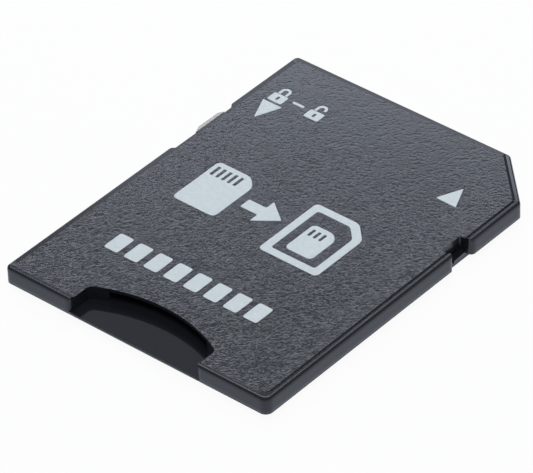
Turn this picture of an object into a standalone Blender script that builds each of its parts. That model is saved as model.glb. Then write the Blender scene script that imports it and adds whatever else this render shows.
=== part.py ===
"""Adapter that lets a small memory card work in a slot made for a full-size one.

+X is right with the label side up, +Y points to the contact end and +Z is up. The origin is the
centre of the face that the adapter rests on. Every size is in metres.
"""

import math

import bmesh
import bpy
from mathutils import Matrix, Vector

# Outside of the housing
BODY_WIDTH = 0.0240
BODY_LENGTH = 0.0320
BODY_THICKNESS = 0.0021
CORNER_CUT = 0.0040
RIGHT_CORNER_RADIUS = 0.00060
LEFT_CORNER_RADIUS = 0.00042
CUT_CORNER_RADIUS = 0.00045
SHOULDER_RADIUS = 0.00024
LEDGE_HEIGHT = 0.00070
LEDGE_SIDE = 0.00075
LEDGE_FRONT = 0.00100
FOOT_EDGE = 0.00012
LEAD_IN = 0.00030
HOUSING_WALL = 0.00090
SKIRT = 0.00040

# Levels of the two covers
PLATE_THICKNESS = 0.00022
SKIN_THICKNESS = 0.00028
SEAT_GAP = 0.00002

# Sunk field on top, where a label or print goes
FIELD_DEPTH = 0.00012
FIELD_SLOPE = 0.00032
FRONT_SLOPE = 0.00018
CUT_SLOPE = 0.00018
FIELD_LEFT = 0.00043
FIELD_RIGHT = 0.00066
FIELD_FRONT = 0.00050
FIELD_BACK = 0.00037
FIELD_CUT = 0.00053
FIELD_RIGHT_RADIUS = 0.00080
FIELD_LEFT_RADIUS = 0.00045
FIELD_CUT_RADIUS = 0.00025

# Cut-out for the finger, and the slot behind it
CUT_OUT_WIDTH = 0.01160
CUT_OUT_DEPTH = 0.00350
CUT_OUT_ARC = 0.01250
CUT_OUT_CORNER = 0.00050
MOUTH_RADIUS = 0.00030
CHEEK = 0.00130
SLOT_CENTRE = -0.00010
SMALL_CARD_WIDTH = 0.01100
SMALL_CARD_LENGTH = 0.01500
SLOT_CLEARANCE = 0.00010
SLOT_RAIL = 0.00080
SPRING_RAIL = 0.00140
KEY_STEP = 0.00130
KEY_LENGTH = 0.00540
RIB_THICKNESS = 0.00050
RIB_COUNT = 3

# Lock notch in the left edge, and the slider in it
LOCK_FRONT = 0.00140
LOCK_BACK = 0.00860
LOCK_DEPTH = 0.00033
LOCK_SLOPE = 0.00050
LOCK_WALL = 0.00027
KNOB_FRONT = 0.00420
KNOB_LENGTH = 0.00320
KNOB_FRONT_SLOPE = 0.00065
KNOB_BACK_SLOPE = 0.00040
KNOB_RADIUS = 0.00018
KNOB_DROP = 0.00005
NECK_MARGIN = 0.00025
NECK_HEIGHT = 0.00030
FLANGE_WIDTH = 0.00085
FLANGE_MARGIN = 0.00035
LOCK_TRAVEL = 0.00200
SLIDE_CLEARANCE = 0.00005
GUIDE_WIDTH = 0.00060

# Detent notch in the right edge
NOTCH_FRONT = 0.00430
NOTCH_LENGTH = 0.00210
NOTCH_DEPTH = 0.00105
SILL_STEP = 0.00060
SILL_SLOPE = 0.00010
NOTCH_RADIUS = 0.00025
NOTCH_FLARE = 0.00040
NOTCH_BOSS = 0.00060

# Contact pads on the underside, counted from the cut corner
PAD_FROM_RIGHT = 0.00260
PAD_FROM_LEFT = 0.002275
PAD_STEPS = (1, 1, 1, 1, 1, 1, 0.97, 0.68)
PAD_PITCH = (BODY_WIDTH - PAD_FROM_RIGHT - PAD_FROM_LEFT) / sum(PAD_STEPS)
PAD_WIDTH = 0.64 * PAD_PITCH
LAST_PAD_WIDTH = 0.40 * PAD_PITCH
PAD_LENGTH = 0.00385
PAD_SETBACK = 0.00200
WINDOW_GAP = 0.00005

# Stamped contact strips and the insulator that carries them
STRIP_THICKNESS = 0.00015
LEAD_WIDTH = 0.00070
FINGER_WIDTH = 0.00050
FINGER_PITCH = 0.00110
FINGER_OFFSET = -0.00065
FINGER_COUNT = 8
FINGER_REACH = 0.00245
FINGER_PROUD = 0.00018
CROWN_RADIUS = 0.00060
CROWN_REACH = 0.00040
TIP_LENGTH = 0.00040
TIP_DROP = 0.00015
FINGER_SLIT = 0.00075
SLIT_SKIN = 0.00035
FAN_FROM_PADS = 0.00158
CARRIER_THICKNESS = 0.00030
CARRIER_MARGIN = 0.00045
BRIDGE_WIDTH = 0.00060
BRIDGE_THICKNESS = 0.00012
BRIDGE_FROM_PAD = 0.00080

# Leaf spring that holds the small card in
SPRING_THICKNESS = 0.00012
SPRING_BULGE = 0.00025
SPRING_LENGTH = 0.00500
SPRING_FROM_STOP = 0.00600
SPRING_ANCHOR = 0.00120
SPRING_POCKET = 0.00090

# Fineness of curves, and how far a cutter stands past what it cuts
CORNER_STEPS = 8
SHOULDER_STEPS = 6
ARC_STEPS = 28
OVERSHOOT = 0.00050

HALF_WIDTH = BODY_WIDTH / 2
HALF_LENGTH = BODY_LENGTH / 2
FLOOR = LEDGE_HEIGHT + PLATE_THICKNESS
FIELD_LEVEL = BODY_THICKNESS - FIELD_DEPTH
CEILING = FIELD_LEVEL - SKIN_THICKNESS
RAIL_TOP = CEILING - SEAT_GAP
CARRIER_BOTTOM = LEDGE_HEIGHT + STRIP_THICKNESS + SEAT_GAP
CARRIER_TOP = CARRIER_BOTTOM + CARRIER_THICKNESS
CONTACT_END = HALF_LENGTH - HOUSING_WALL - SEAT_GAP
WINDOW_BACK = CONTACT_END - PAD_LENGTH - WINDOW_GAP
SLOT_WIDTH = SMALL_CARD_WIDTH + 2 * SLOT_CLEARANCE
SLOT_LEFT = SLOT_CENTRE - SLOT_WIDTH / 2
SLOT_RIGHT = SLOT_CENTRE + SLOT_WIDTH / 2
SLOT_FRONT = -HALF_LENGTH + HOUSING_WALL + SEAT_GAP
SLOT_STOP = -HALF_LENGTH + SMALL_CARD_LENGTH + SLOT_CLEARANCE
LOCK_FACE = -HALF_WIDTH + LOCK_DEPTH
CHANNEL_FACE = LOCK_FACE + LOCK_WALL
NECK_FRONT = KNOB_FRONT + NECK_MARGIN
NECK_BACK = KNOB_FRONT + KNOB_LENGTH - NECK_MARGIN
FLANGE_FRONT = KNOB_FRONT - FLANGE_MARGIN
FLANGE_BACK = KNOB_FRONT + KNOB_LENGTH + FLANGE_MARGIN
NECK_LEVEL = (FLOOR + CEILING) / 2
CHEEK_BACK = -HALF_LENGTH + CUT_OUT_DEPTH
FINGER_CENTRE = SLOT_CENTRE + FINGER_OFFSET
CARRIER_FRONT = SLOT_STOP + SEAT_GAP
FAN_BACK = WINDOW_BACK - FAN_FROM_PADS
FAN_FRONT = (CARRIER_FRONT + FAN_BACK - PAD_SETBACK) / 2
SPRING_BACK = SLOT_STOP - SPRING_FROM_STOP


def clear_scene():
    for item in list(bpy.data.objects):
        bpy.data.objects.remove(item, do_unlink=True)


def new_collection(name):
    collection = bpy.data.collections.new(name)
    bpy.context.scene.collection.children.link(collection)
    return collection


def new_material(name, colour, roughness, metallic=0.0):
    material = bpy.data.materials.new(name)
    material.use_nodes = True
    shader = material.node_tree.nodes["Principled BSDF"]
    shader.inputs["Base Color"].default_value = (*colour, 1.0)
    shader.inputs["Roughness"].default_value = roughness
    shader.inputs["Metallic"].default_value = metallic
    return material


def arc(centre, radius, start, end, steps=CORNER_STEPS):
    """Points on an arc between two angles in degrees."""
    angles = [math.radians(start + (end - start) * step / steps) for step in range(steps + 1)]
    return [(centre[0] + radius * math.cos(a), centre[1] + radius * math.sin(a)) for a in angles]


def rounded(corners, steps=CORNER_STEPS):
    """A closed outline from corners (x, y, radius), each rounded by its own radius."""
    points = []
    for index, (x, y, radius) in enumerate(corners):
        here = Vector((x, y))
        if radius == 0:
            points.append((x, y))
            continue
        before = (Vector(corners[index - 1][:2]) - here).normalized()
        after = (Vector(corners[(index + 1) % len(corners)][:2]) - here).normalized()
        half_angle = before.angle(after) / 2
        centre = here + (before + after).normalized() * radius / math.sin(half_angle)
        first = here + before * radius / math.tan(half_angle) - centre
        last = here + after * radius / math.tan(half_angle) - centre
        sweep = math.atan2(first.x * last.y - first.y * last.x, first.dot(last))
        for step in range(steps + 1):
            turned = Matrix.Rotation(sweep * step / steps, 2) @ first
            points.append(tuple(centre + turned))
    return points


def rectangle(left, right, front, back):
    return [(left, front), (right, front), (right, back), (left, back)]


def cut_line(inset):
    """What x + y comes to on the cut corner, this far inside the housing."""
    return HALF_WIDTH + HALF_LENGTH - CORNER_CUT - inset * math.sqrt(2)


def card_outline(insets, radii):
    """The full-size card's outline, moved in by its own distance on each side.

    insets are those of the left, right, front, back and cut sides. radii are those of the front
    right corner, of the two left corners and of the two corners beside the cut.
    """
    left, right, front, back, cut_side = insets
    x0 = -HALF_WIDTH + left
    x1 = HALF_WIDTH - right
    y0 = -HALF_LENGTH + front
    y1 = HALF_LENGTH - back
    corners = [
        (x0, y0, radii[1]),
        (x1, y0, radii[0]),
        (x1, cut_line(cut_side) - x1, radii[2]),
        (cut_line(cut_side) - y1, y1, radii[2]),
        (x0, y1, radii[1]),
    ]
    return rounded(corners)


def new_object(name, shape, collection):
    """An object from a finished bmesh, with its normals outwards."""
    bmesh.ops.recalc_face_normals(shape, faces=shape.faces)
    mesh = bpy.data.meshes.new(name)
    shape.to_mesh(mesh)
    shape.free()
    item = bpy.data.objects.new(name, mesh)
    collection.objects.link(item)
    return item


def prism(name, outlines, bottom, top, collection):
    """One mesh of upright prisms, one on each outline."""
    shape = bmesh.new()
    for outline in outlines:
        face = shape.faces.new([shape.verts.new((x, y, bottom)) for x, y in outline])
        grown = bmesh.ops.extrude_face_region(shape, geom=[face])["geom"]
        raised = [element for element in grown if isinstance(element, bmesh.types.BMVert)]
        bmesh.ops.translate(shape, vec=(0, 0, top - bottom), verts=raised)
    return new_object(name, shape, collection)


def flared(name, low, high, bottom, top, collection):
    """A prism that widens from the outline low at its bottom to the outline high at its top."""
    shape = bmesh.new()
    rings = [[shape.verts.new((x, y, z)) for x, y in ring] for ring, z in ((low, bottom), (high, top))]
    for index in range(len(low)):
        before = index - 1
        shape.faces.new((rings[0][before], rings[0][index], rings[1][index], rings[1][before]))
    for ring in rings:
        shape.faces.new(ring)
    return new_object(name, shape, collection)


def round_level(item, level, radius, steps):
    """Rounds the edges of a prism that lie at one height."""
    shape = bmesh.new()
    shape.from_mesh(item.data)
    edges = [edge for edge in shape.edges if all(abs(v.co.z - level) < SEAT_GAP / 4 for v in edge.verts)]
    bmesh.ops.bevel(
        shape, geom=edges, offset=radius, segments=steps, profile=0.5, affect="EDGES", clamp_overlap=False
    )
    shape.to_mesh(item.data)
    shape.free()


def combine(item, tool, operation):
    """Adds a live Boolean to item, with tool kept out of the render."""
    tool.hide_render = True
    tool.display_type = "WIRE"
    modifier = item.modifiers.new(tool.name, "BOOLEAN")
    modifier.operation = operation
    modifier.solver = "EXACT"
    modifier.object = tool


def cut(item, tool):
    combine(item, tool, "DIFFERENCE")


def join(item, tool):
    combine(item, tool, "UNION")


def bent_strip(name, centres, widths, across, thickness, collection):
    """Sheet metal bent along a line of centres, its width measured along the axis across."""
    shape = bmesh.new()
    rows = []
    for centre, width in zip(centres, widths):
        half = Vector(across) * width / 2
        rows.append((shape.verts.new(Vector(centre) - half), shape.verts.new(Vector(centre) + half)))
    for (a, b), (c, d) in zip(rows, rows[1:]):
        shape.faces.new((a, b, d, c))
    item = new_object(name, shape, collection)
    modifier = item.modifiers.new("sheet", "SOLIDIFY")
    modifier.thickness = thickness
    modifier.offset = 0
    modifier.use_even_offset = True
    return item


def body_outline():
    radii = (RIGHT_CORNER_RADIUS, LEFT_CORNER_RADIUS, CUT_CORNER_RADIUS)
    return card_outline((0, 0, 0, 0, 0), radii)


def inset_outline(inset):
    """The housing's outline moved in by the same distance on every side."""
    radius = LEFT_CORNER_RADIUS / 2
    return card_outline((inset, inset, inset, inset, inset), (radius, radius, radius))


def field_outline(rise):
    """Outline of the sunk field, 0 at its floor, 1 where its slopes have risen by its depth."""
    insets = (FIELD_LEFT, FIELD_RIGHT, FIELD_FRONT, FIELD_BACK, FIELD_CUT)
    slopes = (FIELD_SLOPE, FIELD_SLOPE, FRONT_SLOPE, FIELD_SLOPE, CUT_SLOPE)
    radii = (FIELD_RIGHT_RADIUS, FIELD_LEFT_RADIUS, FIELD_CUT_RADIUS)
    grown = [inset - slope * rise for inset, slope in zip(insets, slopes)]
    return card_outline(grown, [radius + FRONT_SLOPE * rise for radius in radii])


def cut_out_outline():
    """Finger cut-out: round wall ends at the mouth, straight sides and a shallow arc behind."""
    left = SLOT_CENTRE - CUT_OUT_WIDTH / 2
    right = SLOT_CENTRE + CUT_OUT_WIDTH / 2
    front = -HALF_LENGTH
    centre_y = front + CUT_OUT_DEPTH - CUT_OUT_ARC
    half_angle = math.degrees(math.asin(CUT_OUT_WIDTH / 2 / CUT_OUT_ARC))
    crown = arc((SLOT_CENTRE, centre_y), CUT_OUT_ARC, 90 - half_angle, 90 + half_angle, ARC_STEPS)
    corners = [(right, front + MOUTH_RADIUS, 0), (*crown[0], CUT_OUT_CORNER)]
    corners += [(x, y, 0) for x, y in crown[1:-1]]
    corners += [(*crown[-1], CUT_OUT_CORNER), (left, front + MOUTH_RADIUS, 0)]
    mouth_left = arc((left - MOUTH_RADIUS, front + MOUTH_RADIUS), MOUTH_RADIUS, 0, -90)
    mouth_right = arc((right + MOUTH_RADIUS, front + MOUTH_RADIUS), MOUTH_RADIUS, 270, 180)
    ends = [(left - MOUTH_RADIUS, front - OVERSHOOT), (right + MOUTH_RADIUS, front - OVERSHOOT)]
    return ends + mouth_right + rounded(corners)[1:-1] + mouth_left


def tongue_outline():
    """Tongue under the cut-out, which follows the round wall ends at the mouth at a seat gap."""
    left = SLOT_CENTRE - CUT_OUT_WIDTH / 2
    right = SLOT_CENTRE + CUT_OUT_WIDTH / 2
    centre_y = -HALF_LENGTH + MOUTH_RADIUS
    reach = MOUTH_RADIUS + SEAT_GAP
    sweep = math.degrees(math.asin(MOUTH_RADIUS / reach))
    back = -HALF_LENGTH + HOUSING_WALL
    points = arc((right + MOUTH_RADIUS, centre_y), reach, 180 + sweep, 180)
    points += [(right - SEAT_GAP, back), (left + SEAT_GAP, back)]
    return points + arc((left - MOUTH_RADIUS, centre_y), reach, 0, -sweep)


def lock_notch_outline():
    outside = -HALF_WIDTH - OVERSHOOT
    front = LOCK_FRONT + LOCK_SLOPE
    back = LOCK_BACK - LOCK_SLOPE
    corners = [
        (outside, LOCK_FRONT, 0),
        (-HALF_WIDTH, LOCK_FRONT, 0),
        (LOCK_FACE, front, LOCK_DEPTH / 2),
        (LOCK_FACE, back, LOCK_DEPTH / 2),
        (-HALF_WIDTH, LOCK_BACK, 0),
        (outside, LOCK_BACK, 0),
    ]
    return rounded(corners)


def notch_outline(depth):
    """Notch in the right edge with a flared wall end on each side."""
    edge = HALF_WIDTH
    front = NOTCH_FRONT
    back = NOTCH_FRONT + NOTCH_LENGTH
    near = arc((edge - NOTCH_RADIUS, front - NOTCH_RADIUS), NOTCH_RADIUS, 0, 90)
    far = arc((edge - NOTCH_FLARE, back + NOTCH_FLARE), NOTCH_FLARE, 270, 360)
    inner = [
        (edge - NOTCH_RADIUS, front, 0),
        (edge - depth, front, NOTCH_RADIUS / 2),
        (edge - depth, back, NOTCH_RADIUS / 2),
        (edge - NOTCH_FLARE, back, 0),
    ]
    outside = [(edge + OVERSHOOT, back + NOTCH_FLARE), (edge + OVERSHOOT, front - NOTCH_RADIUS)]
    return near + rounded(inner)[1:-1] + far + outside


def sill_outline():
    """The same notch where it goes through the thin plate, which leaves a sill in the opening."""
    plate_edge = HALF_WIDTH - SKIRT - SEAT_GAP
    back = NOTCH_FRONT + NOTCH_LENGTH
    return [
        (HALF_WIDTH, NOTCH_FRONT),
        (HALF_WIDTH - NOTCH_DEPTH, NOTCH_FRONT),
        (HALF_WIDTH - NOTCH_DEPTH, NOTCH_FRONT + SILL_STEP),
        (plate_edge, NOTCH_FRONT + SILL_STEP),
        (plate_edge - SILL_SLOPE, back),
        (HALF_WIDTH, back),
    ]


def pad_layout():
    """(name, centre x, width, end y, window back y) of the nine pads, from the cut corner on."""
    x = HALF_WIDTH - PAD_FROM_RIGHT
    end = cut_line(HOUSING_WALL + SEAT_GAP) - (x + PAD_WIDTH / 2)
    pads = [("pad_9", x, PAD_WIDTH, min(end, CONTACT_END), WINDOW_BACK - PAD_SETBACK)]
    for number, step in enumerate(PAD_STEPS, start=1):
        x -= step * PAD_PITCH
        width = LAST_PAD_WIDTH if number == len(PAD_STEPS) else PAD_WIDTH
        pads.append((f"pad_{number}", x, width, CONTACT_END, WINDOW_BACK))
    return pads


def finger_places():
    first = FINGER_CENTRE + FINGER_PITCH * (FINGER_COUNT - 1) / 2
    return [first - FINGER_PITCH * index for index in range(FINGER_COUNT)]


def carrier_outline(margin):
    """Funnel shape that covers the pads, the fanned leads and the roots of the fingers."""
    pads = pad_layout()
    fingers = finger_places()
    left = pads[-1][1] - pads[-1][2] / 2 - CARRIER_MARGIN - margin
    right = pads[0][1] + pads[0][2] / 2 + SEAT_GAP + margin
    narrow_left = fingers[-1] - FINGER_WIDTH / 2 - CARRIER_MARGIN - margin
    narrow_right = fingers[0] + FINGER_WIDTH / 2 + CARRIER_MARGIN + margin
    end = CONTACT_END + margin
    cut_sum = cut_line(HOUSING_WALL + SEAT_GAP) + margin
    return [
        (narrow_left, CARRIER_FRONT - margin),
        (narrow_right, CARRIER_FRONT - margin),
        (narrow_right, FAN_FRONT),
        (right, FAN_BACK - PAD_SETBACK),
        (right, cut_sum - right),
        (cut_sum - end, end),
        (left, end),
        (left, FAN_BACK),
        (narrow_left, FAN_FRONT),
    ]


def make_top_cover(parts, cutters):
    cover = prism("top_cover", [body_outline()], LEDGE_HEIGHT, BODY_THICKNESS, parts)
    round_level(cover, BODY_THICKNESS, SHOULDER_RADIUS, SHOULDER_STEPS)
    below = LEDGE_HEIGHT - OVERSHOOT
    above = BODY_THICKNESS + OVERSHOOT
    rise = (above - FIELD_LEVEL) / FIELD_DEPTH
    cut(cover, flared("label_field", field_outline(0), field_outline(rise), FIELD_LEVEL, above, cutters))
    seat = FLOOR + SEAT_GAP
    cut(cover, prism("plate_seat", [inset_outline(SKIRT)], below, seat, cutters))
    cut(cover, prism("cover_inside", [inset_outline(HOUSING_WALL)], seat - OVERSHOOT / 2, CEILING, cutters))

    roof = CEILING + SKIN_THICKNESS / 2
    half_mouth = CUT_OUT_WIDTH / 2
    cheeks = [
        rectangle(SLOT_CENTRE + side - CHEEK, SLOT_CENTRE + side + CHEEK, SLOT_FRONT - OVERSHOOT, CHEEK_BACK)
        for side in (-half_mouth, half_mouth)
    ]
    join(cover, prism("mouth_cheeks", cheeks, seat, roof, cutters))

    boss = rectangle(
        HALF_WIDTH - NOTCH_DEPTH - NOTCH_BOSS,
        HALF_WIDTH - HOUSING_WALL / 2,
        NOTCH_FRONT - NOTCH_BOSS,
        NOTCH_FRONT + NOTCH_LENGTH + NOTCH_BOSS,
    )
    join(cover, prism("notch_boss", [boss], seat, roof, cutters))

    fingers = finger_places()
    pads = pad_layout()
    stop_rib = rectangle(
        fingers[-1] - FINGER_WIDTH, fingers[0] + FINGER_WIDTH, CARRIER_FRONT, CARRIER_FRONT + RIB_THICKNESS
    )
    rib_y = (CONTACT_END + WINDOW_BACK) / 2
    pad_rib = rectangle(
        pads[-1][1], cut_line(HOUSING_WALL * 2) - rib_y, rib_y, rib_y + RIB_THICKNESS
    )
    join(cover, prism("hold_down_ribs", [stop_rib, pad_rib], CARRIER_TOP + SEAT_GAP, roof, cutters))

    channel = rectangle(
        CHANNEL_FACE,
        -HALF_WIDTH + HOUSING_WALL + OVERSHOOT,
        FLANGE_FRONT - LOCK_TRAVEL - SLIDE_CLEARANCE,
        FLANGE_BACK + SLIDE_CLEARANCE,
    )
    neck_slot = rectangle(
        LOCK_FACE - OVERSHOOT,
        CHANNEL_FACE + OVERSHOOT,
        NECK_FRONT - LOCK_TRAVEL - SLIDE_CLEARANCE,
        NECK_BACK + SLIDE_CLEARANCE,
    )
    plate_edge = -HALF_WIDTH + SKIRT
    low_notch = rectangle(LOCK_FACE - OVERSHOOT, plate_edge, LOCK_FRONT + LOCK_SLOPE, LOCK_BACK - LOCK_SLOPE)
    neck_top = NECK_LEVEL + NECK_HEIGHT / 2 + SLIDE_CLEARANCE
    cut(cover, prism("finger_cut_out", [cut_out_outline()], below, above, cutters))
    cut(cover, prism("lock_channel", [channel], below, CEILING, cutters))
    cut(cover, prism("neck_slot", [neck_slot], below, neck_top, cutters))
    cut(cover, prism("lock_notch", [lock_notch_outline()], below, above, cutters))
    cut(cover, prism("low_lock_notch", [low_notch], below, seat, cutters))
    cut(cover, prism("side_notch", [notch_outline(NOTCH_DEPTH)], below, above, cutters))
    return cover


def slot_rails():
    """Rails beside the slot, the key that fits the small card's step, and the ribs outside them."""
    inside = HALF_WIDTH - HOUSING_WALL - SEAT_GAP
    front = CHEEK_BACK + SEAT_GAP
    left_rail = rectangle(SLOT_LEFT - SLOT_RAIL, SLOT_LEFT, front, SLOT_STOP)
    right_rail = rectangle(SLOT_RIGHT, SLOT_RIGHT + SPRING_RAIL, front, SLOT_STOP)
    key = [
        (SLOT_RIGHT - KEY_STEP, SLOT_STOP),
        (SLOT_RIGHT - KEY_STEP, SLOT_STOP - KEY_LENGTH + KEY_STEP),
        (SLOT_RIGHT + SEAT_GAP, SLOT_STOP - KEY_LENGTH),
        (SLOT_RIGHT + SEAT_GAP, SLOT_STOP),
    ]
    spacing = (SLOT_STOP - front) / (RIB_COUNT + 1)
    ribs = []
    for index in range(1, RIB_COUNT + 1):
        y = front + spacing * index
        ribs.append(rectangle(-inside, SLOT_LEFT - SLOT_RAIL / 2, y, y + RIB_THICKNESS))
        ribs.append(rectangle(SLOT_RIGHT + SPRING_RAIL * 3 / 4, inside, y, y + RIB_THICKNESS))
    return left_rail, right_rail, key, ribs


def spring_pocket_outline():
    back = SPRING_BACK + SLIDE_CLEARANCE
    deep = SLOT_RIGHT + SPRING_POCKET
    slit = deep - SPRING_THICKNESS - 2 * SLIDE_CLEARANCE
    front = SPRING_BACK - SPRING_LENGTH
    return [
        (SLOT_RIGHT - OVERSHOOT, back),
        (SLOT_RIGHT - OVERSHOOT, front + SPRING_ANCHOR),
        (slit, front + SPRING_ANCHOR),
        (slit, front - SLIDE_CLEARANCE),
        (deep, front - SLIDE_CLEARANCE),
        (deep, back),
    ]


def lead_in_wedge(cutters):
    """Ramp along the lower edge of the contact end, which lifts the device's own contacts."""
    reach = LEAD_IN + OVERSHOOT
    profile = [
        (HALF_LENGTH - LEAD_IN - OVERSHOOT, -OVERSHOOT),
        (HALF_LENGTH + OVERSHOOT, -OVERSHOOT),
        (HALF_LENGTH + OVERSHOOT, reach),
    ]
    wedge = prism("lead_in", [profile], -HALF_WIDTH - OVERSHOOT, HALF_WIDTH + OVERSHOOT, cutters)
    wedge.data.transform(Matrix(((0, 0, 1, 0), (1, 0, 0, 0), (0, 1, 0, 0), (0, 0, 0, 1))))
    return wedge


def make_bottom_cover(parts, cutters):
    cover = prism("bottom_cover", [inset_outline(SKIRT + SEAT_GAP)], LEDGE_HEIGHT, FLOOR, parts)
    foot_outline = card_outline(
        (LEDGE_SIDE, LEDGE_SIDE, LEDGE_FRONT, 0, LEDGE_SIDE),
        (RIGHT_CORNER_RADIUS, LEFT_CORNER_RADIUS, LEFT_CORNER_RADIUS),
    )
    root = LEDGE_HEIGHT + PLATE_THICKNESS / 2
    foot = prism("foot", [foot_outline], 0, root, cutters)
    round_level(foot, 0, FOOT_EDGE, 2)
    skirt_seat = rectangle(
        -BODY_WIDTH, BODY_WIDTH, HALF_LENGTH - SKIRT - SEAT_GAP, HALF_LENGTH + OVERSHOOT
    )
    cut(foot, prism("skirt_seat", [skirt_seat], LEDGE_HEIGHT, FLOOR, cutters))
    cut(foot, lead_in_wedge(cutters))
    join(cover, foot)
    join(cover, prism("mouth_tongue", [tongue_outline()], LEDGE_HEIGHT, FLOOR, cutters))

    left_rail, right_rail, key, ribs = slot_rails()
    join(cover, prism("left_rail", [left_rail], root, RAIL_TOP, cutters))
    join(cover, prism("right_rail", [right_rail], root, RAIL_TOP, cutters))
    join(cover, prism("card_key", [key], root, RAIL_TOP, cutters))
    join(cover, prism("side_ribs", ribs, root, RAIL_TOP - SEAT_GAP, cutters))
    plate_edge = -HALF_WIDTH + SKIRT + SEAT_GAP
    lock_lip = rectangle(plate_edge, CHANNEL_FACE, NECK_FRONT - LOCK_TRAVEL, NECK_BACK)
    lip_top = NECK_LEVEL - NECK_HEIGHT / 2 - SLIDE_CLEARANCE
    join(cover, prism("lock_lip", [lock_lip], root, lip_top, cutters))
    guide_x = CHANNEL_FACE + FLANGE_WIDTH + 2 * SLIDE_CLEARANCE
    guide = rectangle(guide_x, guide_x + GUIDE_WIDTH, FLANGE_FRONT - LOCK_TRAVEL, FLANGE_BACK)
    join(cover, prism("slider_guide", [guide], root, RAIL_TOP - SEAT_GAP, cutters))

    pads = pad_layout()
    windows = []
    beds = []
    for _, x, width, end, back in pads:
        half = width / 2 + WINDOW_GAP
        windows.append(rectangle(x - half, x + half, back, HALF_LENGTH + OVERSHOOT))
        beds.append(rectangle(x - half, x + half, back, end + SEAT_GAP))
    recess = carrier_outline(SLIDE_CLEARANCE)
    lead_recess = [(x, min(y, WINDOW_BACK + OVERSHOOT / 2)) for x, y in recess]
    lead_recess = [point for index, point in enumerate(lead_recess) if point != lead_recess[index - 1]]
    slits = [
        rectangle(
            x - FINGER_SLIT / 2,
            x + FINGER_SLIT / 2,
            CARRIER_FRONT - FINGER_REACH - CROWN_REACH - TIP_LENGTH - FINGER_SLIT / 2,
            CARRIER_FRONT + OVERSHOOT,
        )
        for x in finger_places()
    ]
    above = CEILING + OVERSHOOT
    below = -OVERSHOOT
    cut(cover, prism("carrier_seat", [recess], CARRIER_BOTTOM - SEAT_GAP, above, cutters))
    cut(cover, prism("lead_recess", [lead_recess], LEDGE_HEIGHT - SEAT_GAP, above, cutters))
    cut(cover, prism("finger_slits", slits, SLIT_SKIN, above, cutters))
    cut(cover, prism("pad_windows", windows, below, LEDGE_HEIGHT + SEAT_GAP, cutters))
    cut(cover, prism("pad_beds", beds, LEDGE_HEIGHT, CARRIER_BOTTOM + SEAT_GAP, cutters))
    cut(cover, prism("spring_pocket", [spring_pocket_outline()], FLOOR, above, cutters))
    cut(cover, prism("plate_side_notch", [sill_outline()], below, above, cutters))
    return cover


def make_lock_slider(parts, cutters):
    """Knob outside, flange inside, and a neck between them that runs in the wall's slot."""
    outside = -HALF_WIDTH
    face = LOCK_FACE - SLIDE_CLEARANCE
    back = KNOB_FRONT + KNOB_LENGTH
    knob = rounded(
        [
            (outside, KNOB_FRONT + KNOB_FRONT_SLOPE, KNOB_RADIUS),
            (face, KNOB_FRONT, 0),
            (face, back, 0),
            (outside, back - KNOB_BACK_SLOPE, KNOB_RADIUS),
        ]
    )
    slider = prism("lock_slider", [knob], LEDGE_HEIGHT + SLIDE_CLEARANCE, BODY_THICKNESS - KNOB_DROP, parts)
    flange_x = CHANNEL_FACE + SLIDE_CLEARANCE
    neck = rectangle(face - LOCK_DEPTH / 3, flange_x + FLANGE_WIDTH / 3, NECK_FRONT, NECK_BACK)
    neck_bottom = NECK_LEVEL - NECK_HEIGHT / 2
    join(slider, prism("slider_neck", [neck], neck_bottom, neck_bottom + NECK_HEIGHT, cutters))
    flange = rectangle(flange_x, flange_x + FLANGE_WIDTH, FLANGE_FRONT, FLANGE_BACK)
    flange_bottom = FLOOR + SLIDE_CLEARANCE
    flange_top = CEILING - SLIDE_CLEARANCE
    join(slider, prism("slider_flange", [flange], flange_bottom, flange_top, cutters))

    middle = (FLANGE_FRONT + FLANGE_BACK) / 2
    origin = Vector((flange_x, middle, NECK_LEVEL))
    slider.data.transform(Matrix.Translation(-origin))
    slider.location = origin
    return slider


def make_carrier(parts, cutters):
    carrier = prism("contact_carrier", [carrier_outline(0)], CARRIER_BOTTOM, CARRIER_TOP, parts)
    holes = []
    half_x = BRIDGE_THICKNESS / 2 + SLIDE_CLEARANCE
    half_y = BRIDGE_WIDTH / 2 + SLIDE_CLEARANCE
    y = bridge_line()
    for x in bridge_ends():
        holes.append(rectangle(x - half_x, x + half_x, y - half_y, y + half_y))
    cut(carrier, prism("bridge_holes", holes, CARRIER_BOTTOM - OVERSHOOT, CARRIER_TOP + OVERSHOOT, cutters))
    return carrier


def bridge_line():
    return WINDOW_BACK - BRIDGE_FROM_PAD


def bridge_ends():
    """Centres of the third and sixth pads, which are both ground."""
    pads = dict((name, x) for name, x, *_ in pad_layout())
    return pads["pad_3"], pads["pad_6"]


def pad_stations(x, width, end, back):
    """Centres and widths of a pad and the taper behind it."""
    level = LEDGE_HEIGHT + STRIP_THICKNESS / 2
    pad_back = back + WINDOW_GAP
    taper = pad_back - (width - LEAD_WIDTH) / 2
    return [(x, end, level), (x, pad_back, level), (x, taper, level)], [width, width, LEAD_WIDTH]


def finger_stations(x):
    """Centres and widths of a spring finger, from its root in the carrier to its tip."""
    level = LEDGE_HEIGHT + STRIP_THICKNESS / 2
    crown_y = CARRIER_FRONT - FINGER_REACH
    crown_z = FLOOR + FINGER_PROUD - STRIP_THICKNESS / 2
    centres = [(x, FAN_FRONT, level), (x, CARRIER_FRONT, level)]
    for share in (1, 0.5, 0, -0.5, -1):
        along = CROWN_REACH * share
        drop = CROWN_RADIUS - math.sqrt(CROWN_RADIUS**2 - along**2)
        centres.append((x, crown_y + along, crown_z - drop))
    _, y, z = centres[-1]
    centres.append((x, y - TIP_LENGTH, z - TIP_DROP))
    return centres, [FINGER_WIDTH] * len(centres)


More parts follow.
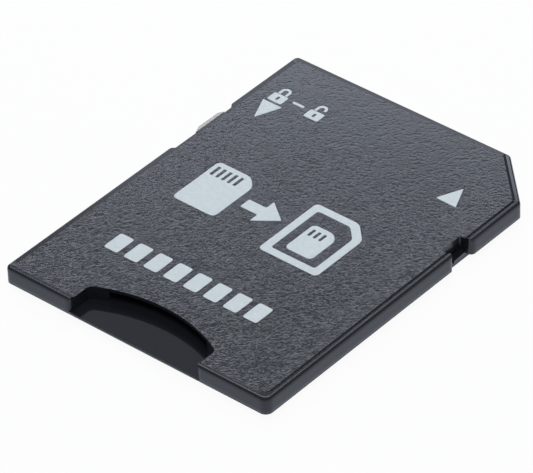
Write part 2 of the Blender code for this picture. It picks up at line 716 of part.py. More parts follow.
def make_contacts(parts):
    """Eight stamped strips from pad to finger. The third pad, a second ground, has only a tail."""
    pads = pad_layout()
    level = LEDGE_HEIGHT + STRIP_THICKNESS / 2
    _, x, width, end, back = pads.pop(3)
    centres, widths = pad_stations(x, width, end, back)
    centres.append((x, bridge_line() - BRIDGE_WIDTH / 2, level))
    widths.append(LEAD_WIDTH)
    made = [bent_strip("ground_pad_3", centres, widths, (1, 0, 0), STRIP_THICKNESS, parts)]
    for (name, x, width, end, back), finger_x in zip(pads, finger_places()):
        centres, widths = pad_stations(x, width, end, back)
        turn = FAN_BACK - PAD_SETBACK if name == "pad_9" else FAN_BACK
        centres.append((x, turn, level))
        widths.append(LEAD_WIDTH)
        finger_centres, finger_widths = finger_stations(finger_x)
        strip = bent_strip(
            "contact_" + name,
            centres + finger_centres,
            widths + finger_widths,
            (1, 0, 0),
            STRIP_THICKNESS,
            parts,
        )
        made.append(strip)
    return made


def make_ground_bridge(parts):
    """Strap over the carrier that joins the two ground pads through holes in it."""
    right, left = bridge_ends()
    y = bridge_line()
    foot = LEDGE_HEIGHT + STRIP_THICKNESS + SEAT_GAP
    top = CARRIER_TOP + SEAT_GAP + BRIDGE_THICKNESS / 2
    centres = [(right, y, foot), (right, y, top), (left, y, top), (left, y, foot)]
    return bent_strip("ground_bridge", centres, [BRIDGE_WIDTH] * 4, (0, 1, 0), BRIDGE_THICKNESS, parts)


def make_retention_spring(parts):
    """Leaf with one end in a slit of the rail and a bulge that rests in the small card's side notch."""
    seat = SLOT_RIGHT + SPRING_POCKET - SPRING_THICKNESS / 2 - SLIDE_CLEARANCE
    bulge = SLOT_RIGHT - SPRING_BULGE + SPRING_THICKNESS / 2
    front = SPRING_BACK - SPRING_LENGTH
    level = (FLOOR + CEILING) / 2
    height = CEILING - FLOOR - 2 * SLIDE_CLEARANCE
    middle = (front + SPRING_ANCHOR + SPRING_BACK) / 2
    flat = SPRING_BULGE / 2
    centres = [
        (seat, front, level),
        (seat, front + SPRING_ANCHOR, level),
        (bulge, middle - flat, level),
        (bulge, middle + flat, level),
        (seat, SPRING_BACK - SPRING_THICKNESS, level),
    ]
    return bent_strip(
        "retention_spring", centres, [height] * len(centres), (0, 0, 1), SPRING_THICKNESS, parts
    )


def finish(items, materials):
    """Gives each piece its material and flat shading with soft curves."""
    for item, material in zip(items, materials):
        item.data.materials.append(material)
        item.data.shade_smooth()
        item.data.set_sharp_from_angle(angle=math.radians(30))


def main():
    clear_scene()
    parts = new_collection("memory_card_adapter")
    cutters = new_collection("cutters")
    black = new_material("moulded black ABS", (0.022, 0.024, 0.028), 0.48)
    grey = new_material("translucent grey acetal", (0.42, 0.43, 0.44), 0.40)
    insulator = new_material("black LCP insulator", (0.015, 0.015, 0.016), 0.60)
    gold = new_material("gold-plated copper alloy", (0.90, 0.62, 0.26), 0.22, 1.0)
    steel = new_material("spring stainless steel", (0.60, 0.59, 0.57), 0.28, 1.0)

    covers = [make_bottom_cover(parts, cutters), make_top_cover(parts, cutters)]
    slider = make_lock_slider(parts, cutters)
    carrier = make_carrier(parts, cutters)
    contacts = make_contacts(parts) + [make_ground_bridge(parts)]
    spring = make_retention_spring(parts)

    pieces = covers + [slider, carrier] + contacts + [spring]
    finish(pieces, [black, black, grey, insulator] + [gold] * len(contacts) + [steel])
    adapter = bpy.data.objects.new("adapter", None)
    parts.objects.link(adapter)
    for piece in pieces:
        piece.parent = adapter


main()
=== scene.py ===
# %% [markdown]
# # A memory card adapter
#
# The adapter is a black plastic sleeve the size of a large stamp. A small memory card slides into
# its front edge, and the sleeve then fits a slot that was made for a full-size card. Its shape
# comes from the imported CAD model, so this lesson is about what the CAD model doesn't have: the
# grain of the plastic, the white print, the gold of the contacts, and the light.

import math

import bpy
from mathutils import Matrix, Vector


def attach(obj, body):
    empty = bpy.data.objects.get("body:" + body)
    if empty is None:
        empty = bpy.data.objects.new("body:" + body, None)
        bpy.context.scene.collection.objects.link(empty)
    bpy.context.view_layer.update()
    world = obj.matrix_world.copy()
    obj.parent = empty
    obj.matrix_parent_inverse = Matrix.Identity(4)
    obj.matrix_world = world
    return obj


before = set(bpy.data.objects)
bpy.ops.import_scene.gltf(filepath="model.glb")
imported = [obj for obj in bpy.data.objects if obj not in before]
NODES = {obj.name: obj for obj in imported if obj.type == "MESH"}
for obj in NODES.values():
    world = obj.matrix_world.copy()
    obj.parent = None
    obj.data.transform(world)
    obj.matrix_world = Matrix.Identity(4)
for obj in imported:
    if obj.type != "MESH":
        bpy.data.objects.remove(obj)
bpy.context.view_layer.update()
MM = 0.001

# %% [markdown]
# ## A few small tools
#
# Paint colours are easiest to name as the sRGB hex values that a colour picker shows, but Blender
# calculates with linear light, so one function turns the first into the second. One function adds
# any shader node: it sets the node's own options and feeds its inputs. An input gets a number, a
# link from a socket, or a link from another node, which then gives the first output it has in use.
# The last function starts a material. A value that is the same all over a surface goes straight on
# the shader's socket, where an export can still find it.

# %% Colour, node and material helpers


def linear(code, alpha=1.0):
    """Turns an sRGB colour such as 1C1E22 into linear red, green, blue and alpha."""
    shares = [int(code[i : i + 2], 16) / 255 for i in (0, 2, 4)]
    return [s / 12.92 if s <= 0.04045 else ((s + 0.055) / 1.055) ** 2.4 for s in shares] + [alpha]


def feed(node, inputs):
    """Gives each named input a number, or a link from a socket or another node."""
    for name, value in inputs.items():
        if isinstance(value, bpy.types.Node):
            value = next(socket for socket in value.outputs if socket.enabled)
        if isinstance(value, bpy.types.NodeSocket):
            node.id_data.links.new(value, node.inputs[name])
        else:
            node.inputs[name].default_value = value


def add_node(tree, kind, inputs=None, **settings):
    node = tree.nodes.new("ShaderNode" + kind)
    for name, value in settings.items():
        setattr(node, name, value)
    feed(node, inputs or {})
    return node


def new_material(name, **sockets):
    material = bpy.data.materials.new(name)
    material.use_nodes = True
    shader = material.node_tree.nodes["Principled BSDF"]
    feed(shader, {socket.replace("_", " "): value for socket, value in sockets.items()})
    return material, material.node_tree, shader


print("black ABS in linear light", [round(v, 4) for v in linear("1C1E22")])

# %% [markdown]
# ## Texture space in millimetres
#
# Grain, brush marks and mottling all have a real size, so the textures are laid out in millimetres
# on the object itself. Object coordinates move with each piece, and one multiplication turns metres
# into millimetres. A noise scale of 2 then simply means two bumps to a millimetre.
#
# Two steps come back in nearly every material. A soft noise lets the base colour drift between two
# shades, since no plastic or metal is one flat colour. And one fine pattern gives the surface both
# its height and its roughness, as the two change together on a real skin.

# %% Steps that the materials share
PATTERN_LOW, PATTERN_HIGH = 0.3, 0.7  # soft noise seldom leaves this range


def millimetres(tree):
    place = add_node(tree, "TexCoord").outputs["Object"]
    return add_node(tree, "VectorMath", {0: place, "Scale": 1 / MM}, operation="SCALE")


def mottle(tree, shader, place, per_mm, detail, first, second):
    """Lets the base colour drift between two shades, with per_mm spots to a millimetre."""
    drift = add_node(tree, "TexNoise", {"Vector": place, "Scale": per_mm, "Detail": detail})
    shades = {"Factor": drift, "A": linear(first), "B": linear(second)}
    feed(shader, {"Base Color": add_node(tree, "Mix", shades, data_type="RGBA")})


def skin(tree, shader, pattern, depth, low, high, edges):
    """Bumps the surface by depth in millimetres, and lets its roughness go from low to high."""
    bump = add_node(tree, "Bump", {"Height": pattern, "Distance": depth * MM, "Normal": edges})
    noise_range = {"Value": pattern, "From Min": PATTERN_LOW, "From Max": PATTERN_HIGH}
    gloss = add_node(tree, "MapRange", noise_range | {"To Min": low, "To Max": high})
    feed(shader, {"Normal": bump, "Roughness": gloss})
    return bump


print("texture units to a metre", round(1 / MM))

# %% [markdown]
# ## Black ABS
#
# The two covers are ABS: tough, cheap and moulded at about 240 degrees. Where the steel mould was
# polished the plastic comes out satin, and where it was etched the plastic takes a fine leather
# grain, which hides fingerprints. Black ABS is never pure black. It returns about 1% of light from
# inside and 4% from its skin, so its brightness is mostly what it mirrors.
#
# A leather grain is a net of fine folds. Soft noise swings up and down around 0.5, and the places
# where it crosses 0.5 are long wandering lines. Those are the folds: the height is full on such a
# line and falls off on both sides. In the photograph the folds are 0.2 to 0.3 mm apart. The noise
# crosses its middle about twice in a cell, so its cells are 0.40 mm. They are drawn out by a third
# along a diagonal of the cover, and a softer noise of about 1 mm shakes them, which bends the
# folds. Fine pores lie on top.

# %% Leather grain height
NOISE_CELL = 0.40
RIDGE_REACH = 0.18  # how far from 0.5 the noise is where a fold ends
FOLD_ANGLE = math.radians(41)
FOLD_SQUEEZE = 0.75
SHAKE_PER_MM, SHAKE_REACH = 1.1, 0.5
PORE_PITCH, PORE_SHARE = 0.13, 0.30


def leather_height(tree, place):
    """Height of the grain, about 1 on a fold and 0 between the folds."""
    angle = {"Vector": place, "Angle": -FOLD_ANGLE}
    turned = add_node(tree, "VectorRotate", angle, rotation_type="Z_AXIS")
    longer = {0: turned, 1: (FOLD_SQUEEZE, 1.0, 1.0)}
    drawn = add_node(tree, "VectorMath", longer, operation="MULTIPLY")
    shake = add_node(tree, "TexNoise", {"Vector": place, "Scale": SHAKE_PER_MM, "Detail": 2.0})
    middle = {0: shake.outputs["Color"], 1: (0.5, 0.5, 0.5)}
    centred = add_node(tree, "VectorMath", middle, operation="SUBTRACT")
    swing = add_node(tree, "VectorMath", {0: centred, "Scale": SHAKE_REACH}, operation="SCALE")
    moved = add_node(tree, "VectorMath", {0: drawn, 1: swing}, operation="ADD")
    noise = add_node(tree, "TexNoise", {"Vector": moved, "Scale": 1 / NOISE_CELL, "Detail": 2.5})
    offset = add_node(tree, "Math", {0: noise, 1: 0.5}, operation="SUBTRACT")
    away = add_node(tree, "Math", {0: offset}, operation="ABSOLUTE")
    ends = {"Value": away, "From Max": RIDGE_REACH, "To Min": 1.0, "To Max": 0.0}
    folds = add_node(tree, "MapRange", ends)
    pores = add_node(tree, "TexNoise", {"Vector": place, "Scale": 1 / PORE_PITCH, "Detail": 2.0})
    fine = add_node(tree, "Math", {0: pores, 1: PORE_SHARE}, operation="MULTIPLY")
    return add_node(tree, "Math", {0: folds, 1: fine}, operation="ADD")


print("folds about", round(NOISE_CELL / 2, 2), "mm apart, pores", PORE_PITCH, "mm")

# %% [markdown]
# The grain belongs only on the sunk field. A mask keeps it there: the surface has to lie at the
# field's level, and its height fades where the surface stops facing up.
#
# A second mask finds the outside walls. Every sharp edge on a moulded part has a small radius,
# because the cutter that made the mould had one. At 0.03 mm it is too fine to model everywhere, so
# a Bevel node rounds the shading of each edge instead. The outside walls look rounder in the
# photograph: their light changes over half a millimetre from the edge. They get that wider radius,
# and every other edge stays crisp.

# %% Masks for the field and the walls
FIELD_LEVEL, FIELD_REACH = 1.98, 0.02
SLOPING, FLAT = 0.94, 0.99  # how far up a face looks at 20 and at 8 degrees of slope
HALF_WIDTH, HALF_LENGTH, WALL_REACH = 12.0, 16.0, 0.2
STEEP, LEANING = 0.1, 0.3  # and at 84 and 73 degrees


def field_mask(tree, place):
    """1 on the sunk field of the top cover, 0 on its rim, walls and inside."""
    height = add_node(tree, "SeparateXYZ", {0: place}).outputs["Z"]
    near = {0: height, 1: FIELD_LEVEL, 2: FIELD_REACH}
    level = add_node(tree, "Math", near, operation="COMPARE")
    normal = add_node(tree, "NewGeometry").outputs["Normal"]
    rise = add_node(tree, "SeparateXYZ", {0: normal}).outputs["Z"]
    flat = add_node(tree, "MapRange", {"Value": rise, "From Min": SLOPING, "From Max": FLAT})
    return add_node(tree, "Math", {0: level, 1: flat}, operation="MULTIPLY")


def wall_mask(tree, place):
    """1 on the outside walls, 0 elsewhere."""
    at = add_node(tree, "SeparateXYZ", {0: place})
    sides = []
    for axis, half in (("X", HALF_WIDTH), ("Y", HALF_LENGTH)):
        away = add_node(tree, "Math", {0: at.outputs[axis]}, operation="ABSOLUTE")
        near = {0: away, 1: half, 2: WALL_REACH}
        sides.append(add_node(tree, "Math", near, operation="COMPARE"))
    outside = add_node(tree, "Math", {0: sides[0], 1: sides[1]}, operation="MAXIMUM")
    facing = add_node(tree, "NewGeometry").outputs["True Normal"]
    rise = add_node(tree, "SeparateXYZ", {0: facing}).outputs["Z"]
    tilt = add_node(tree, "Math", {0: rise}, operation="ABSOLUTE")
    ends = {"Value": tilt, "From Min": STEEP, "From Max": LEANING, "To Min": 1.0, "To Max": 0.0}
    upright = add_node(tree, "MapRange", ends)
    return add_node(tree, "Math", {0: outside, 1: upright}, operation="MULTIPLY")


print("field at", FIELD_LEVEL, "mm, walls at", HALF_WIDTH, "and", HALF_LENGTH, "mm")

# %% [markdown]
# The two covers come from one recipe, with or without the grain. Flow marks 3 mm wide shift the
# black a little. The mould's own roughness is only a few thousandths of a millimetre wide, which no
# pixel can show. It is drawn as coarse as one pixel of the render, 0.07 mm, so that it can be seen
# at all. The grain is 0.015 mm deep, and toward the contact end it gets shallower.

# %% Housing materials
EDGE_RADIUS = 0.03 * MM
WALL_RADIUS = 0.50 * MM
FLOW_PER_MM = 0.35  # a flow mark is 3 mm wide
SATIN_PER_MM, SATIN_DEPTH = 14.0, 0.0012
GRAIN_DEPTH = 0.015
FADE_START, FADE_END, FADE_SHARE = 6.0, 14.0, 0.6  # from y 6 to y 14 it falls to 0.6 of that


def moulded_abs(name, grained, first, second, low, high):
    material, tree, shader = new_material(name, IOR=1.53)
    place = millimetres(tree)
    mottle(tree, shader, place, FLOW_PER_MM, 3.0, first, second)
    ends = {"Value": wall_mask(tree, place), "To Min": EDGE_RADIUS, "To Max": WALL_RADIUS}
    edges = add_node(tree, "Bevel", {"Radius": add_node(tree, "MapRange", ends)}, samples=6)
    satin = add_node(tree, "TexNoise", {"Vector": place, "Scale": SATIN_PER_MM, "Detail": 4.0})
    bump = skin(tree, shader, satin, SATIN_DEPTH, low, high, edges)
    if grained:
        along = add_node(tree, "SeparateXYZ", {0: place}).outputs["Y"]
        fade = {"Value": along, "From Min": FADE_START, "From Max": FADE_END}
        share = add_node(tree, "MapRange", fade | {"To Min": 1.0, "To Max": FADE_SHARE})
        mask = field_mask(tree, place)
        depth = add_node(tree, "Math", {0: mask, 1: share}, operation="MULTIPLY")
        leather = leather_height(tree, place)
        height = add_node(tree, "Math", {0: leather, 1: depth}, operation="MULTIPLY")
        grain = {"Height": height, "Distance": GRAIN_DEPTH * MM, "Normal": bump}
        feed(shader, {"Normal": add_node(tree, "Bump", grain)})
    return material


grained_abs = moulded_abs("black ABS with leather grain", True, "191B20", "1E2126", 0.17, 0.22)
satin_abs = moulded_abs("black ABS, satin", False, "181A1F", "1C1E23", 0.06, 0.09)
print("made", grained_abs.name, "and", satin_abs.name)

# %% [markdown]
# ## The other plastics
#
# The lock slider is acetal, a slippery plastic that needs no grease. Unpainted it is milky, since
# light goes a little way in and comes out again, so it gets subsurface scattering over a third of a
# millimetre. The insulator under the covers is LCP, which flows like water into thin moulds and
# leaves faint streaks along its flow, 0.2 mm wide and ten times as long. It is matt and nearly
# black. The grit of both is finer than a pixel too. It is drawn about 0.1 mm wide, so that it
# shows.

# %% Acetal and LCP
ACETAL_SPOTS_PER_MM = 1.2  # a spot is 0.8 mm wide
ACETAL_GRIT_PER_MM, LCP_GRIT_PER_MM = 11.0, 8.0
LCP_STREAKS = (6.0, 0.6, 1.0)  # streaks to a millimetre across, along and through


def plain_finish(tree, shader, place, per_mm, depth, low, high):
    """Crisp edges and a fine grit for a plain moulded plastic."""
    edges = add_node(tree, "Bevel", {"Radius": EDGE_RADIUS}, samples=6)
    grit = add_node(tree, "TexNoise", {"Vector": place, "Scale": per_mm, "Detail": 4.0})
    skin(tree, shader, grit, depth, low, high, edges)


acetal, tree, shader = new_material(
    "milky grey acetal", IOR=1.48, Subsurface_Weight=0.35, Subsurface_Radius=(1.0, 1.0, 1.0),
    Subsurface_Scale=0.33 * MM,
)
place = millimetres(tree)
mottle(tree, shader, place, ACETAL_SPOTS_PER_MM, 2.0, "B3B1AD", "C2C0BB")
plain_finish(tree, shader, place, ACETAL_GRIT_PER_MM, depth=0.002, low=0.30, high=0.42)

lcp, tree, shader = new_material("black LCP with flow lines", IOR=1.6)
place = millimetres(tree)
streaks = add_node(tree, "VectorMath", {0: place, 1: LCP_STREAKS}, operation="MULTIPLY")
mottle(tree, shader, streaks, 1.0, 4.0, "18181A", "26262A")
plain_finish(tree, shader, place, LCP_GRIT_PER_MM, depth=0.003, low=0.52, high=0.66)
print("made", acetal.name, "and", lcp.name)

# %% [markdown]
# ## Gold and spring steel
#
# The contacts are stamped from rolled copper alloy, plated with nickel and then a thin layer of
# gold. The plating follows the rolling lines of the strip, which run along it, and each time the
# adapter goes into a slot the pads get a few wipe marks in the same direction. The leaf spring is
# stainless steel, rolled in the same way. Both are metals, so their colour tints what they mirror.
# The lines are stretched noise: fine across the strip and long along it. Real rolling lines are a
# hundredth of a millimetre wide. Here they are 0.08 mm, so that they show.

# %% Rolled metals
PLATING_SPOTS_PER_MM = 0.8  # the plating's colour drifts over 1.25 mm
ROLLING_LINES = (12.0, 0.5, 12.0)  # lines to a millimetre across, along and through
ROLLING_DEPTH = 0.0012


def rolled_metal(name, first, second, low, high):
    material, tree, shader = new_material(name, Metallic=1.0)
    place = millimetres(tree)
    mottle(tree, shader, place, PLATING_SPOTS_PER_MM, 3.0, first, second)
    drawn = add_node(tree, "VectorMath", {0: place, 1: ROLLING_LINES}, operation="MULTIPLY")
    lines = add_node(tree, "TexNoise", {"Vector": drawn, "Scale": 1.0, "Detail": 5.0})
    edges = add_node(tree, "Bevel", {"Radius": EDGE_RADIUS}, samples=4)
    skin(tree, shader, lines, ROLLING_DEPTH, low, high, edges)
    return material


gold = rolled_metal("gold-plated copper strip", "D6A24A", "E2B565", 0.20, 0.34)
steel = rolled_metal("rolled stainless spring steel", "B4B1AB", "C6C4BF", 0.22, 0.36)
print("made", gold.name, "and", steel.name)

# %% [markdown]
# ## Dress the CAD pieces
#
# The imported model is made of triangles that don't share their corners. Three modifiers give it
# clean shading without moving a point: Weld joins the corners, Edge Split parts the faces again
# wherever they meet at more than a crease angle, and Weighted Normal lets the large flat faces win
# over the small ones of a fillet. What is left is smooth where it curves and crisp where it turns.
# The slopes around the sunk field are only 20 degrees steep, so the plastics have a crease angle
# of 17 degrees. The bends of the metal strips are coarser arcs, and take 32 degrees.

# %% Materials and shading of the CAD nodes
PLASTIC_CREASE, METAL_CREASE = 17, 32
WELD_REACH = 0.0002 * MM
LARGE_FACE_WEIGHT = 80
FINISHES = {
    "top_cover": grained_abs,
    "bottom_cover": satin_abs,
    "lock_slider": acetal,
    "contact_carrier": lcp,
    "retention_spring": steel,
}


def dress(item, material):
    item.data.materials.clear()
    item.data.materials.append(material)
    stored = item.data.attributes.get("custom_normal")
    if stored:
        item.data.attributes.remove(stored)
    item.data.polygons.foreach_set("use_smooth", [True] * len(item.data.polygons))
    crease = METAL_CREASE if material in (gold, steel) else PLASTIC_CREASE
    item.modifiers.new("weld", "WELD").merge_threshold = WELD_REACH
    item.modifiers.new("split", "EDGE_SPLIT").split_angle = math.radians(crease)
    item.modifiers.new("weighted", "WEIGHTED_NORMAL").weight = LARGE_FACE_WEIGHT


for name, item in NODES.items():
    dress(item, FINISHES.get(name, gold))
    print(name, "->", item.data.materials[0].name)

# %% [markdown]
# ## The print
#
# The marks on the cover are pad-printed: a silicone pad picks up ink from an etched plate and
# presses it on. The ink lies about 0.006 mm thick, follows the grain, and is a cool white. Its
# tone drifts over 0.4 mm and its gloss over 0.14 mm. Each mark is drawn as a flat outline and
# given that thickness, so it stays sharp from any distance. The signs are generic ones:
# triangles, padlocks, and a small card that goes into a large one.

# %% Ink
INK_THICKNESS = 0.006
INK_GRAIN_DEPTH = 0.012
INK_SPOTS_PER_MM, INK_GLOSS_PER_MM = 2.5, 7.0

ink, tree, shader = new_material("cool white pad-printing ink", IOR=1.5)
place = millimetres(tree)
mottle(tree, shader, place, INK_SPOTS_PER_MM, 4.0, "CDD7D7", "DCE5E4")
leather = leather_height(tree, place)
grain = add_node(tree, "Bump", {"Height": leather, "Distance": INK_GRAIN_DEPTH * MM})
dry = add_node(tree, "TexNoise", {"Vector": place, "Scale": INK_GLOSS_PER_MM, "Detail": 2.0})
noise_range = {"Value": dry, "From Min": PATTERN_LOW, "From Max": PATTERN_HIGH}
gloss = add_node(tree, "MapRange", noise_range | {"To Min": 0.42, "To Max": 0.58})
feed(shader, {"Normal": grain, "Roughness": gloss})


def printed(name, outlines):
    """A layer of ink on the field inside these closed outlines. One inside another is a hole."""
    shape = bpy.data.curves.new(name, "CURVE")
    shape.dimensions = "2D"
    shape.fill_mode = "BOTH"
    shape.extrude = INK_THICKNESS * MM / 2
    for outline in outlines:
        line = shape.splines.new("POLY")
        line.points.add(len(outline) - 1)
        for point, (x, y) in zip(line.points, outline):
            point.co = (x * MM, y * MM, 0, 1)
        line.use_cyclic_u = True
    flat = bpy.data.objects.new(name, shape)
    mesh = bpy.data.meshes.new_from_object(flat)
    bpy.data.objects.remove(flat)
    mesh.transform(Matrix.Translation((0, 0, (FIELD_LEVEL + INK_THICKNESS / 2) * MM)))
    mesh.materials.append(ink)
    mark = bpy.data.objects.new(name, mesh)
    bpy.context.scene.collection.objects.link(mark)
    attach(mark, "housing")
    print(name, len(mesh.polygons), "faces")


print("made", ink.name)

# %% [markdown]
# The corners of a print are never quite sharp, since the ink draws back a little. One function
# rounds the corners of any outline: at each corner it walks back along both sides and joins the
# two points with a smooth curve.

# %% Rounded outlines
CORNER_STEPS = 5
LONGEST_SHARE = 0.45  # a corner takes less than half of each side


def soft(corners, radius):
    """The same outline with its corners rounded."""
    points = []
    for index, corner in enumerate(corners):
        here = Vector(corner)
        before = Vector(corners[index - 1]) - here
        after = Vector(corners[(index + 1) % len(corners)]) - here
        reach = min(radius, before.length * LONGEST_SHARE, after.length * LONGEST_SHARE)
        first = here + before.normalized() * reach
        last = here + after.normalized() * reach
        for step in range(CORNER_STEPS + 1):
            t = step / CORNER_STEPS
            points.append(tuple(first * (1 - t) ** 2 + here * 2 * t * (1 - t) + last * t**2))
    return points


def bar(x, y, width, height, radius):
    """A rounded bar with its lower left corner at x, y."""
    corners = [(x, y), (x + width, y), (x + width, y + height), (x, y + height)]
    return soft(corners, radius)


print("a rounded bar has", len(bar(0, 0, 1, 1, 0.1)), "points")

# %% [markdown]
# Two triangles point the way. The one at the lock slider shows which way it locks, and the other
# one shows which way the adapter goes into its slot.

# %% Arrows on the cover
printed("lock_arrow", [soft([(-10.55, 10.4), (-9.65, 8.3), (-8.75, 10.4)], 0.12)])
printed("insertion_arrow", [soft([(6.85, 8.85), (8.65, 8.8), (7.75, 10.85)], 0.12)])

# %% [markdown]
# A padlock is a rounded body with a keyhole and a bow. The bow is half a ring on two legs that end
# just above the body. When the lock is open, one of the legs is short.

# %% Padlocks by the lock slider
PADLOCK_WIDTH, PADLOCK_BODY, PADLOCK_CORNER = 1.30, 0.98, 0.16
KEYHOLE_WIDTH, KEYHOLE_HEIGHT, KEYHOLE_RISE = 0.22, 0.44, 0.27
BOW_RADIUS, BOW_WIDTH, BOW_RISE, BOW_STEPS = 0.43, 0.22, 0.44, 12
LONG_LEG, SHORT_LEG = 0.39, 0.12


def bow(x, y, left_leg, right_leg):
    """Half a ring centred on x, y, with a leg on each side of it."""
    outer = BOW_RADIUS
    inner = BOW_RADIUS - BOW_WIDTH
    angles = [math.pi * step / BOW_STEPS for step in range(BOW_STEPS + 1)]
    over = [(x + outer * math.cos(a), y + outer * math.sin(a)) for a in angles]
    under = [(x + inner * math.cos(a), y + inner * math.sin(a)) for a in reversed(angles)]
    left_end = [(x - outer, y - left_leg), (x - inner, y - left_leg)]
    return [(x + outer, y - right_leg)] + over + left_end + under + [(x + inner, y - right_leg)]


def padlock(name, x, y, right_leg):
    middle = x + PADLOCK_WIDTH / 2
    body = bar(x, y, PADLOCK_WIDTH, PADLOCK_BODY, PADLOCK_CORNER)
    round_end = KEYHOLE_WIDTH / 2
    keyhole = bar(middle - round_end, y + KEYHOLE_RISE, KEYHOLE_WIDTH, KEYHOLE_HEIGHT, round_end)
    printed(name + "_body", [body, keyhole])
    printed(name + "_bow", [bow(middle, y + PADLOCK_BODY + BOW_RISE, LONG_LEG, right_leg)])


padlock("closed_padlock", -10.40, 10.62, LONG_LEG)
padlock("open_padlock", -6.95, 10.62, SHORT_LEG)
printed("padlock_link", [bar(-8.55, 11.30, 1.05, 0.24, 0.12)])

# %% [markdown]
# The large sign says what the adapter is for: a small card, an arrow, and the full-size card that
# it turns into. The cards are drawn as solid shapes, and their contacts are holes that show the
# black plastic.

# %% The large sign
CARD_CORNER, HOLE_CORNER = 0.45, 0.08
HOLE_INSET, HOLE_DROP, HOLE_MARGIN = 0.35, 0.45, 0.3


def card_sign(x, y, width, height, cut, contacts, length):
    """A card with a cut corner and a row of contact holes along its top."""
    right, top = x + width, y + height
    outline = [(x, y), (right, y), (right, top - cut), (right - cut, top), (x, top)]
    pitch = (width - cut - HOLE_MARGIN) / contacts
    lefts = [x + HOLE_INSET + pitch * index for index in range(contacts)]
    bottom = top - HOLE_DROP - length
    holes = [bar(left, bottom, pitch * 0.5, length, HOLE_CORNER) for left in lefts]
    return [soft(outline, CARD_CORNER)] + holes


printed("small_card_sign", card_sign(-8.1, -2.6, 3.9, 5.2, 0.9, 5, 1.1))
shaft_and_head = [
    (-3.5, -0.5), (-1.9, -0.5), (-1.9, -1.35), (-0.1, 0.0), (-1.9, 1.35), (-1.9, 0.5), (-3.5, 0.5),
]
printed("sign_arrow", [soft(shaft_and_head, 0.14)])
border = [(0.6, -3.4), (5.9, -3.4), (5.9, 1.7), (4.5, 3.1), (0.6, 3.1)]
window = [(1.25, -2.75), (5.25, -2.75), (5.25, 1.4), (4.2, 2.45), (1.25, 2.45)]
printed("large_card_sign", [soft(border, 0.4), soft(window, 0.25)])
printed("large_card_inset", card_sign(2.0, -2.2, 2.4, 3.3, 0.6, 3, 0.8))

# %% [markdown]
# Below the sign a row of blocks repeats the contacts of the small card.

# %% The row of blocks
BLOCK_COUNT, BLOCK_PITCH = 8, 1.83
BLOCK_WIDTH, BLOCK_HEIGHT, BLOCK_CORNER = 1.25, 1.9, 0.22
ROW_LEFT, ROW_BOTTOM = -8.1, -9.95
for index in range(BLOCK_COUNT):
    left = ROW_LEFT + BLOCK_PITCH * index
    block = bar(left, ROW_BOTTOM, BLOCK_WIDTH, BLOCK_HEIGHT, BLOCK_CORNER)
    printed(f"contact_block_{index + 1}", [block])

# %% [markdown]
# ## White paper
#
# The floor is a sheet of white paper. A camera that is set for white paper shows it without any
# grey, but the shadow has to stay. So what the camera sees, straight or mirrored in the adapter's
# walls, is mostly a glow and only a small share of the lit paper. All other light meets plain
# paper. From below the sheet is clear, which leaves the underside in view.

# %% Floor
FLOOR_SIZE = 3.0
GLOW_SHARE = 0.94
PAPER_SPOTS_PER_MM = 0.6  # fibres clump in spots of about 1.7 mm

bpy.ops.mesh.primitive_plane_add(size=FLOOR_SIZE)
floor = bpy.context.object
floor.name = "paper_floor"
paper, tree, shader = new_material("white paper", IOR=1.45, Roughness=0.9)
mottle(tree, shader, millimetres(tree), PAPER_SPOTS_PER_MM, 3.0, "F2F2F2", "F6F6F6")
rays = add_node(tree, "LightPath").outputs
seen = add_node(
    tree, "Math", {0: rays["Is Camera Ray"], 1: rays["Is Glossy Ray"]}, operation="MAXIMUM"
)
seen = add_node(tree, "Math", {0: seen, 1: rays["Is Transmission Ray"]}, operation="MAXIMUM")
lift = add_node(tree, "Math", {0: seen, 1: GLOW_SHARE}, operation="MULTIPLY")
tints = {"Factor": rays["Is Camera Ray"], "A": linear("E6EEFC"), "B": linear("FFFFFF")}
tint = add_node(tree, "Mix", tints, data_type="RGBA")
white = add_node(tree, "Emission", {"Color": tint, "Strength": 1.0})
mixed = add_node(tree, "MixShader", {0: lift, 1: shader, 2: white})
below = add_node(tree, "NewGeometry").outputs["Backfacing"]
clear = add_node(tree, "BsdfTransparent")
sheet = add_node(tree, "MixShader", {0: below, 1: mixed, 2: clear})
feed(tree.nodes["Material Output"], {"Surface": sheet})
floor.data.materials.append(paper)
print("made", floor.name, "of", FLOOR_SIZE, "m")

# %% [markdown]
# ## The room
#
# Black plastic shows little but its reflections, so the light is planned from what each face
# mirrors towards the camera. The room is the world, and its brightness goes by height. It is dark
# up to 17 degrees above the horizon, and the front and right slopes around the field, which mirror
# that part, stay black. It is brightest from 25 to 38 degrees, and the flat field mirrors the upper
# end of that. Overhead it is dimmer. The camera itself sees plain white behind the adapter.

# %% World
ROOM_LIGHT = ((0.30, 0.0), (0.42, 0.44), (0.62, 0.47), (0.76, 0.25))  # height, brightness

world = bpy.data.worlds.new("white room")
bpy.context.scene.world = world
world.use_nodes = True
tree = world.node_tree
around = add_node(tree, "TexCoord").outputs["Generated"]
height = add_node(tree, "SeparateXYZ", {0: around}).outputs["Z"]
ramp = add_node(tree, "ValToRGB", {0: height})
while len(ramp.color_ramp.elements) < len(ROOM_LIGHT):
    ramp.color_ramp.elements.new(0.5)
for stop, (level, brightness) in zip(ramp.color_ramp.elements, ROOM_LIGHT):
    stop.position = level
    stop.color = (brightness, brightness, brightness, 1)
room = tree.nodes["Background"]
feed(room, {"Color": linear("EAF0FD"), "Strength": ramp})
backdrop = add_node(tree, "Background", {"Color": (1, 1, 1, 1), "Strength": 1.0})
direct = add_node(tree, "LightPath").outputs["Is Camera Ray"]
mixed = add_node(tree, "MixShader", {0: direct, 1: room, 2: backdrop})
feed(tree.nodes["World Output"], {"Surface": mixed})
print("made", world.name, "with", len(ramp.color_ramp.elements), "steps of brightness")

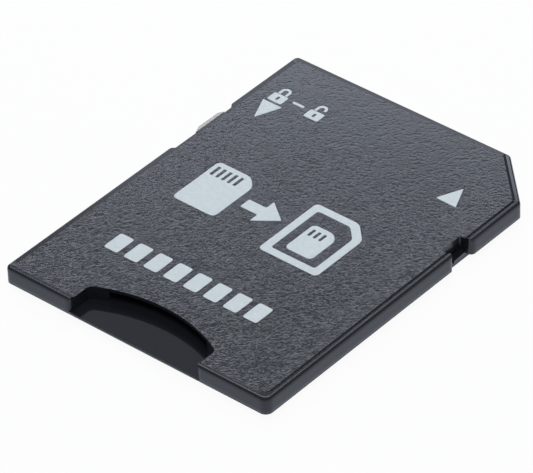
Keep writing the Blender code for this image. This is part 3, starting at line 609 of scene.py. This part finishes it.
# %% [markdown]
# ## The lamps
#
# A large softbox in front and above fills the shadows. It isn't mirrored, or it would grey the
# plastic. One behind and above draws the thin crests of the rims. A small one stands close behind,
# just below the direction that the top mirrors towards the camera: being so near, it lights the
# back of the top more than the front, makes the grain glitter, and throws the rim of the finger
# cut-out as a shadow on its floor. The last three are seen only as reflections, in the inner
# slopes of the back and left rims and in the rounded corner between them.

# %% Lamps


def area_lamp(name, direction, distance, width, height, watts, colour):
    """A lamp at a distance in metres from the adapter, facing it. direction points to it."""
    data = bpy.data.lights.new(name, "AREA")
    data.shape = "RECTANGLE"
    data.size = width
    data.size_y = height
    data.energy = watts
    data.color = linear(colour)[:3]
    lamp = bpy.data.objects.new(name, data)
    bpy.context.scene.collection.objects.link(lamp)
    away = Vector(direction).normalized()
    lamp.location = away * distance
    lamp.rotation_euler = away.to_track_quat("Z", "Y").to_euler()
    print(name, "at", [round(v, 3) for v in lamp.location])
    return lamp


fill = area_lamp("top_softbox", (0.25, -0.30, 0.92), 0.60, 0.30, 0.30, 1.6, "FFFFFF")
fill.visible_glossy = False
area_lamp("rim_softbox", (-0.35, 0.41, 0.87), 0.60, 0.34, 0.10, 0.60, "F2F6FF")
area_lamp("back_softbox", (-0.54, 0.71, 0.485), 0.11, 0.115, 0.030, 0.0265, "E6EDFC")
edge = area_lamp("edge_softbox", (-0.113, 0.640, 0.765), 0.108, 0.030, 0.030, 0.0055, "E6EDFC")
far_edge = area_lamp("far_edge_softbox", (-0.523, 0.061, 0.850), 0.60, 0.20, 0.20, 0.27, "E6EDFC")
corner = area_lamp("corner_softbox", (-0.16, 0.24, 0.955), 0.60, 0.26, 0.26, 0.42, "E6EDFC")
for lamp in (edge, far_edge, corner):
    lamp.visible_diffuse = False

# %% [markdown]
# ## The camera
#
# The camera stands where the photographer's was. Its place was found by fitting the corners of the
# card's known outline to the photograph. It looks from the front right and 38 degrees above, from
# a third of a metre away through a long lens, so the far edge is hardly smaller than the near one.

# %% Camera
AZIMUTH, ELEVATION, ROLL = (math.radians(angle) for angle in (41.372, 37.756, -2.0934))
DISTANCE = 336.647  # this and the next two are in millimetres
ASIDE, ABOVE = -1.1837, 0.4938
FOCAL_PIXELS = 4741.36
IMAGE_WIDTH = 533
SENSOR = 36.0

flat_part = math.cos(ELEVATION)
back = Vector((math.sin(AZIMUTH) * flat_part, -math.cos(AZIMUTH) * flat_part, math.sin(ELEVATION)))
level = Vector((math.cos(AZIMUTH), math.sin(AZIMUTH), 0))
upward = back.cross(level)
right = level * math.cos(ROLL) + upward * math.sin(ROLL)
up = upward * math.cos(ROLL) - level * math.sin(ROLL)
lens = bpy.data.cameras.new("camera")
lens.sensor_fit = "HORIZONTAL"
lens.sensor_width = SENSOR
lens.lens = SENSOR * FOCAL_PIXELS / IMAGE_WIDTH
lens.clip_start = 0.01
camera = bpy.data.objects.new("camera", lens)
bpy.context.scene.collection.objects.link(camera)
turn = Matrix((right, up, back)).transposed().to_4x4()
camera.matrix_world = Matrix.Translation((right * ASIDE + up * ABOVE + back * DISTANCE) * MM) @ turn
bpy.context.scene.camera = camera
bpy.context.scene.view_settings.view_transform = "Standard"
print("lens", round(lens.lens, 1), "mm, camera at", [round(v, 4) for v in camera.location])
